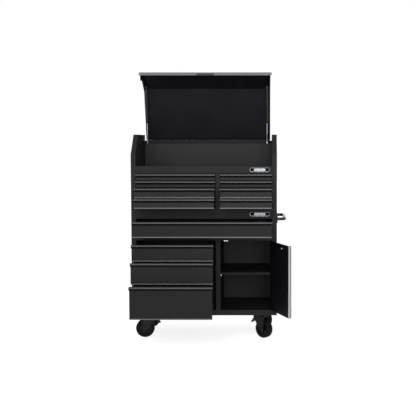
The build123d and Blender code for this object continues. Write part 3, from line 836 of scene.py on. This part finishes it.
def hinge_half(name, first, up):
    """One leaf of the lid's hinge with every second knuckle of its barrel, above or below the pin."""
    back = LID_AXIS[0] + KNUCKLE
    front = back - LEAF_METAL
    heights = sorted((LID_AXIS[1] + up * LEAF_START, LID_AXIS[1] + up * LEAF_END))
    parts = [block(name, at(-LID_HINGE_HALF, front, heights[0]), at(LID_HINGE_HALF, back, heights[1]))]
    step = 2 * LID_HINGE_HALF / KNUCKLES
    tab = sorted((LID_AXIS[1], LID_AXIS[1] + up * LEAF_START))
    for number in range(first, KNUCKLES, 2):
        start = -LID_HINGE_HALF + number * step + KNUCKLE_GAP
        end = start + step - 2 * KNUCKLE_GAP
        ends = at(start, *LID_AXIS), at(end, *LID_AXIS)
        parts.append(rod("knuckle", *ends, KNUCKLE, KNUCKLE_SIDES, lip=0))
        parts.append(block("tab", at(start, front, tab[0]), at(end, back, tab[1])))
    half = joined(name, parts)
    round_edges(half, LEAF_ROUND, segments=1)
    return half


def lid_hinge():
    """The hinge that runs the whole width of the lid: two leaves, a barrel of knuckles and a pin."""
    lower = hinge_half("lid_hinge_lower_leaf", 0, -1)
    finished(lower, HINGE_BLACK, "casing", "hinge_steel")
    upper = turned(hinge_half("lid_hinge_upper_leaf", 1, 1), "lid_hinge", -LID_OPEN)
    finished(upper, HINGE_BLACK, "lid", "hinge_steel")
    ends = [at(side * (LID_HINGE_HALF + PIN_REACH), *LID_AXIS) for side in (-1, 1)]
    finished(rod("lid_hinge_pin", *ends, HINGE_PIN), DARK_ZINC, "casing", "hinge_steel")


def lid_grip():
    """The lid's pull, built with the lid closed and opened with it, and its dark thumb insert."""
    low = at(-LID_PULL_HALF, -PULL_REACH, LID_PULL_LOW)
    high = at(LID_PULL_HALF, 0, LID_PULL_LOW + PULL_HEIGHT)
    grip, channel = pull_bar("lid_grip", low, high, flipped=True)
    insert = block(
        "lid_grip_insert",
        at(-INSERT_HALF, -PULL_REACH + PULL_NOSE, LID_PULL_LOW - INSERT_METAL),
        at(INSERT_HALF, INSERT_BACK, LID_PULL_LOW),
    )
    round_edges(insert, FINE_ROUND, segments=3)
    for piece, material, nodes in (
        (grip, LID_ALUMINIUM, ["lid_pull"]),
        (channel, SHADE_AND_FIELD_BLACK, []),
        (insert, INSERT_NYLON, []),
    ):
        finished(turned(piece, "lid_hinge", -LID_OPEN), material, "lid", "pull_metal", *nodes)


def strut(side, sign):
    """A gas strut: the chromed rod, the painted tube, and the seal collar at the tube's mouth."""
    sheet_piece(f"strut_rod_{side}", f"strut_rod_bar_{side}", ROD_CHROME, "strut_rod")
    sheet_piece(f"strut_tube_{side}", f"strut_cylinder_{side}", STRUT_PAINT, "strut_tube")
    low = at(sign * STRUT_PLANE, *STRUT_LOW)
    along = (at(sign * STRUT_PLANE, *STRUT_HIGH) - low).normalized() * MM
    mouth = low + along * STRUT_MOUTH
    ends = mouth - along * COLLAR_INSIDE, mouth + along * COLLAR_REACH
    collar = rod(f"strut_collar_{side}", *ends, COLLAR_RADIUS, ROD_SIDES, COLLAR_ROUND)
    finished(collar, NYLON, f"strut_tube_{side}", "strut_tube")


lid()
lid_hinge()
lid_grip()
strut("left", -1)
strut("right", 1)


# Door
def door():
    """The door's leaf with its inner skin darkened as painted shade, the strike, the hinge leaves and the
    lit free edge.
    """
    leaf, *small = solids_of(copy_of("door_panel", "door_leaf"))
    round_edges(leaf, FINE_ROUND)
    finished(leaf, CASING_COAT, "door", "casing_paint", "door_panel")
    leaves = [part for part in small if extent(part)[2] > SHORTEST_LEAF]
    for part in small:
        if part not in leaves:
            bpy.data.objects.remove(part)
    leaves = joined("door_hinge_leaves", leaves)
    round_edges(leaves, LEAF_ROUND, segments=1)
    finished(leaves, HINGE_BLACK, "door", "hinge_steel")
    foot = at(STRIKE[0], DOOR_THICK, STRIKE[1])
    tip = foot + Vector((0, STRIKE_HEIGHT * MM, 0))
    strike = rod("door_strike", foot, tip, STRIKE_RADIUS, ROD_SIDES, STRIKE_ROUND)
    finished(turned(strike, "door_hinge", DOOR_OPEN), BRIGHT_ZINC, "door", "hinge_steel")
    # A thin sheet on the door's inner face whose near-black is painted shade
    skin = block(
        "door_inner_skin",
        at(DOOR_LEFT + SHEET, DOOR_THICK, DOOR_LOW + SHEET),
        at(DOOR_RIGHT - SHEET, DOOR_THICK + SKIN_METAL, DOOR_HIGH - SHEET),
    )
    round_edges(skin, LEAF_ROUND, segments=1)
    finished(turned(skin, "door_hinge", DOOR_OPEN), DOOR_PAINTED_SHADE, "door", "casing_paint")
    edge = block(
        "door_edge_trim",
        at(DOOR_LEFT - EDGE_METAL, 0, DOOR_LOW),
        at(DOOR_LEFT + EDGE_LIP, DOOR_THICK + 2 * EDGE_METAL, DOOR_HIGH),
    )
    mesh = opened(edge, "FACE")
    choose(mesh.faces, lambda face, spot: face.normal.x > MOSTLY or face.normal.y < -MOSTLY)
    bpy.ops.mesh.delete(type="FACE")
    closed()
    thicken(edge, EDGE_METAL)
    round_edges(edge, LEAF_ROUND, segments=1)
    finished(turned(edge, "door_hinge", DOOR_OPEN), EDGE_ALUMINIUM, "door", "pull_metal")
    sheet_piece("door_pull", "door_grip", DOOR_ALUMINIUM, "pull_metal")


door()


def casing_hardware():
    """What the casing carries: the door's hinge leaves and pins, the struts' studs and the catch.

    The plain solids at the lid's axis go, since lid_hinge() builds that hinge."""
    dark, bright = [], []
    for part in solids_of(copy_of("hinges_studs_and_catch", "hardware")):
        spot = sum((corner.co for corner in part.data.vertices), Vector()) / len(part.data.vertices)
        if near(spot.y, at(0, LID_AXIS[0], 0).y, HINGE_REACH * MM):
            bpy.data.objects.remove(part)
        elif near(spot.x, at(CATCH_MIDDLE, 0, 0).x, CATCH_REACH * MM):
            bright.append(part)
        else:
            dark.append(part)
    dark = joined("door_hinge_post_leaves_and_studs", dark)
    round_edges(dark, LEAF_ROUND, segments=1)
    finished(dark, HINGE_BLACK, "casing", "hinge_steel", "hinges_studs_and_catch")
    bright = joined("door_catch", bright)
    round_edges(bright, FINE_ROUND)
    finished(bright, BRIGHT_ZINC, "casing", "hinge_steel")


casing_hardware()


# Badges: blank, with a bright rim, a black field and a plain bar
def stadium(half_length, radius):
    """The (x, z) outline of a bar with round ends, about its middle."""
    points = []
    for number in range(2 * BADGE_STEPS + 2):
        end = 1 if number <= BADGE_STEPS else -1
        angle = math.pi * (number - (end < 0)) / BADGE_STEPS - math.pi / 2
        x = end * (half_length - radius) + radius * math.cos(angle)
        points.append((x, radius * math.sin(angle)))
    return points


def badges():
    """Both header badges."""
    rims, fields, bars = [], [], []
    for part in solids_of(copy_of("badge_plates", "badge")):
        corners = [corner.co for corner in part.data.vertices]
        low = Vector(min(corner[axis] for corner in corners) for axis in range(3))
        high = Vector(max(corner[axis] for corner in corners) for axis in range(3))
        bpy.data.objects.remove(part)
        centre = (low + high) / 2
        half_length, radius = (high.x - centre.x) / MM, (high.z - centre.z) / MM
        thick = (high.y - low.y) / MM
        rim = plate("badge_rim", stadium(half_length, radius), -thick, 0, "Y")
        mesh = opened(rim, "FACE")
        choose(mesh.faces, lambda face, spot: face.normal.y < -SQUARELY)
        bpy.ops.mesh.inset(thickness=BADGE_RIM * MM)
        bpy.ops.transform.translate(value=(0, BADGE_RECESS * MM, 0))
        closed()
        round_edges(rim, BADGE_ROUND)
        floor_y = BADGE_RECESS - thick
        field = plate(
            "badge_field",
            stadium(half_length - BADGE_RIM, radius - BADGE_RIM),
            floor_y - BADGE_FIELD,
            floor_y,
            "Y",
        )
        bar = plate("badge_bar", stadium(BADGE_BAR_HALF, BADGE_BAR_RADIUS), -thick, floor_y, "Y")
        round_edges(bar, BADGE_ROUND)
        move = Matrix.Translation(centre - at(0, 0, 0) - Vector((0, centre.y - high.y, 0)))
        for piece in (rim, field, bar):
            piece.data.transform(move)
        rims.append(rim)
        fields.append(field)
        bars.append(bar)
    finished(joined("badge_rims", rims), PLATE_ALUMINIUM, "casing", "badge_metal", "badge_plates")
    finished(joined("badge_fields", fields), SHADE_AND_FIELD_BLACK, "casing", "badge_metal")
    finished(joined("badge_bars", bars), PLATE_ALUMINIUM, "casing", "badge_metal")


badges()


# Side handle: a bent tube on two plates, each held by two screws
def handle():
    """The push handle, its brackets and their screws."""
    tube, *brackets = solids_of(copy_of("side_handle", "push_handle"))
    round_edges(tube, FINE_ROUND, turn=TUBE_TURN)
    finished(tube, HANDLE_COAT, "casing", "handle_paint", "side_handle")
    low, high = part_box("side_handle")
    brackets = joined("handle_brackets", brackets)
    round_edges(brackets, BRACKET_ROUND, segments=3)
    finished(brackets, HANDLE_COAT, "casing", "handle_paint")
    screws = []
    middle_z = (low.z + high.z) / 2
    for y in (HANDLE_FRONT, HANDLE_BACK):
        for side in (-1, 1):
            spot = at(BODY_RIGHT + BRACKET_THICK, y, middle_z / MM + side * SCREW_DROP)
            tip = spot + Vector((SCREW_HEIGHT * MM, 0, 0))
            screws.append(rod("screw", spot, tip, SCREW_RADIUS, ROD_SIDES, SCREW_ROUND))
    finished(joined("handle_screws", screws), DARK_ZINC, "casing", "handle_paint")


handle()


# Casters, each built with its swivel axis on Z and its wheel trailing along X
def steered(corner):
    """Where a caster stands: its swivel's place, turned to where its wheel trails."""
    swivel = Vector(JOINTS[f"swivel_{corner}"]["pos_m"])
    trail = Vector(JOINTS[f"spin_{corner}"]["pos_m"]) - swivel
    turn = Matrix.Rotation(math.atan2(trail.y, trail.x), 4, "Z")
    return Matrix.Translation((swivel.x, swivel.y, 0)) @ turn


def spun(name, profile):
    """A closed (radius, offset) profile spun about a wheel's axle, in millimetres."""
    bpy.ops.mesh.primitive_circle_add(vertices=len(profile), fill_type="NOTHING")
    piece = bpy.context.object
    piece.name = name
    for corner, (radius, offset) in zip(piece.data.vertices, profile):
        corner.co = Vector((0, offset, radius)) * MM
    opened(piece, "VERT")
    bpy.ops.mesh.select_all(action="SELECT")
    bpy.ops.mesh.spin(steps=SPIN_STEPS, angle=2 * math.pi, center=(0, 0, 0), axis=(0, 1, 0))
    bpy.ops.mesh.select_all(action="SELECT")
    bpy.ops.mesh.remove_doubles(threshold=SPIN_DOUBLES * MM)
    bpy.ops.mesh.normals_make_consistent(inside=False)
    closed()
    bpy.ops.object.shade_smooth_by_angle(angle=math.radians(WHEEL_TURN))
    return piece


def mirrored(profile):
    """A profile that runs from one side of a wheel on to the same points on its other side."""
    return [*profile, *[(radius, -offset) for radius, offset in reversed(profile)]]


def wheel(corner):
    """A wheel: a tyre with round shoulders, and a ribbed rim with its hub."""
    half = WHEEL_WIDTH / 2
    shoulder = []
    for number in range(SHOULDER_STEPS + 1):
        angle = math.pi / 2 * number / SHOULDER_STEPS
        out = WHEEL_RADIUS - SHOULDER + SHOULDER * math.sin(angle)
        shoulder.append((out, half - SHOULDER + SHOULDER * math.cos(angle)))
    step = [
        (RIM_RADIUS, half - STEP_DEPTH),
        (RIM_RADIUS + STEP_WIDTH, half - STEP_DEPTH),
        (RIM_RADIUS + STEP_WIDTH + RIM_CHAMFER, half),
    ]
    tyre = spun(f"caster_tyre_{corner}", mirrored([*step, *shoulder]))
    side = [
        (AXLE_RADIUS + AXLE_PLAY, HUB_HALF),
        (HUB_RADIUS - RIM_CHAMFER, HUB_HALF),
        (HUB_RADIUS, HUB_HALF - RIM_CHAMFER),
        (HUB_RADIUS + HUB_TAPER, WEB_HALF),
        (RIM_INNER - RIM_TAPER, WEB_HALF),
        (RIM_INNER, RIM_HALF - RIM_CHAMFER),
        (RIM_INNER + RIM_CHAMFER, RIM_HALF),
        (RIM_RADIUS, RIM_HALF),
    ]
    rim = [spun("rim", mirrored(side))]
    for number in range(2 * RIBS):
        offset = WEB_HALF if number % 2 else -RIB_REACH
        low = Vector((-RIB_THICK / 2, offset, HUB_RADIUS)) * MM
        high = Vector((RIB_THICK / 2, offset + RIB_REACH - WEB_HALF, RIM_INNER)) * MM
        rib = block("rib", low, high)
        rib.data.transform(Matrix.Rotation(math.pi * (number // 2 * 2) / RIBS, 4, "Y"))
        round_edges(rib, RIB_ROUND, segments=1)
        rim.append(rib)
    rim = joined(f"caster_rim_{corner}", rim)
    place = steered(corner) @ Matrix.Translation(Vector((CASTER_TRAIL, 0, WHEEL_RADIUS)) * MM)
    tyre.data.transform(place)
    rim.data.transform(place)
    finished(tyre, TYRE, f"wheel_{corner}", "wheel_rubber", f"caster_wheel_{corner}")
    finished(rim, NYLON, f"wheel_{corner}", "wheel_rubber")


def fork(corner):
    """A pressed fork with its ball race, and the axle and pin that it carries."""
    node = f"caster_fork_{corner}"
    body, *pins = solids_of(copy_of(node, f"fork_{corner}"))
    round_edges(body, FORK_ROUND, segments=3, turn=SOFT_TURN)
    finished(body, DARK_ZINC, BODY_OF[node], "caster_steel", node)
    pins = joined(f"axle_and_pin_{corner}", pins)
    round_edges(pins, AXLE_ROUND)
    finished(pins, DARK_ZINC, BODY_OF[node], "caster_steel")


def pedal(corner):
    """A brake pedal with a ribbed tread."""
    node = f"brake_pedal_{corner}"
    parts = [copy_of(node, f"pedal_{corner}")]
    start, end = Vector(PEDAL_START), Vector(PEDAL_END)
    slope = math.atan2(start.z - end.z, start.x - end.x)
    for number in range(PEDAL_RIBS):
        spot = start.lerp(end, (number + PEDAL_RIB_START) / (PEDAL_RIBS + PEDAL_RIB_START)) * MM
        size = Vector(PEDAL_RIB) * MM / 2
        rib = block("rib", -size, size)
        tilt = Matrix.Rotation(-slope, 4, "Y")
        rib.data.transform(steered(corner) @ Matrix.Translation(spot) @ tilt)
        parts.append(rib)
    tread = joined(f"brake_pedal_tread_{corner}", parts)
    round_edges(tread, RIB_ROUND, segments=2, turn=SOFT_TURN)
    finished(tread, NYLON, BODY_OF[node], "caster_steel", node)


for corner in ("front_left", "front_right", "rear_left", "rear_right"):
    wheel(corner)
    fork(corner)
    if corner.startswith("front"):
        pedal(corner)
sheet_piece("caster_plates", "caster_top_plates", BRIGHT_ZINC, "caster_steel")


# Studio: a pale floor, an even pale world and two large soft lamps
FLOOR_METRES = 60
FLOOR_GREY = "#d8d8d8"
FLOOR_GLOW = 0.8
WORLD_LIGHT = 0.45


def seen_rays(tree):
    """1 for the rays that show the background, straight, mirrored or through glass, 0 for the rest."""
    rays = add(tree, "ShaderNodeLightPath")
    seen = rays.outputs["Is Camera Ray"]
    for kind in ("Is Glossy Ray", "Is Transmission Ray"):
        inputs = {0: seen, 1: rays.outputs[kind]}
        seen = add(tree, "ShaderNodeMath", inputs, operation="MAXIMUM").outputs[0]
    return seen


bpy.ops.mesh.primitive_plane_add(size=FLOOR_METRES, location=(0, 0, 0))
floor = bpy.context.object
floor.name = "floor"
floor_material = bpy.data.materials.new("pale_floor")
floor_material.use_nodes = True
tree = floor_material.node_tree
tree.nodes.remove(tree.nodes["Principled BSDF"])
seen = seen_rays(tree)
matt = add(tree, "ShaderNodeBsdfDiffuse", {"Color": linear(FLOOR_GREY)})
glow = add(tree, "ShaderNodeEmission", {"Color": linear("#ffffff"), "Strength": FLOOR_GLOW})
bright = add(tree, "ShaderNodeAddShader", {0: matt.outputs[0], 1: glow.outputs[0]})
pale = add(tree, "ShaderNodeMixShader", {0: seen, 1: matt.outputs[0], 2: bright.outputs[0]})
tree.links.new(pale.outputs[0], tree.nodes["Material Output"].inputs["Surface"])
floor.data.materials.append(floor_material)

world = bpy.data.worlds.new("studio")
bpy.context.scene.world = world
world.use_nodes = True
tree = world.node_tree
seen = seen_rays(tree)
level = add(tree, "ShaderNodeMapRange", {"Value": seen, "To Min": WORLD_LIGHT, "To Max": 1.0})
tree.nodes["Background"].inputs["Color"].default_value = (1, 1, 1, 1)
tree.links.new(level.outputs["Result"], tree.nodes["Background"].inputs["Strength"])


def soft_lamp(name, place, target, size, power):
    """A square softbox that looks at a point, its size in metres and its power in watts."""
    lamp = bpy.data.objects.new(name, bpy.data.lights.new(name, "AREA"))
    bpy.context.collection.objects.link(lamp)
    lamp.location = place
    lamp.rotation_euler = (target - place).to_track_quat("-Z", "Y").to_euler()
    lamp.data.size = size
    lamp.data.energy = power


soft_lamp("key_softbox", place=at(-1500, -4500, 4200), target=at(0, 0, 1000), size=3.0, power=120)
soft_lamp("front_softbox", place=at(900, -6500, 2000), target=at(0, 0, 900), size=2.5, power=150)

bpy.context.scene.view_settings.view_transform = "Standard"
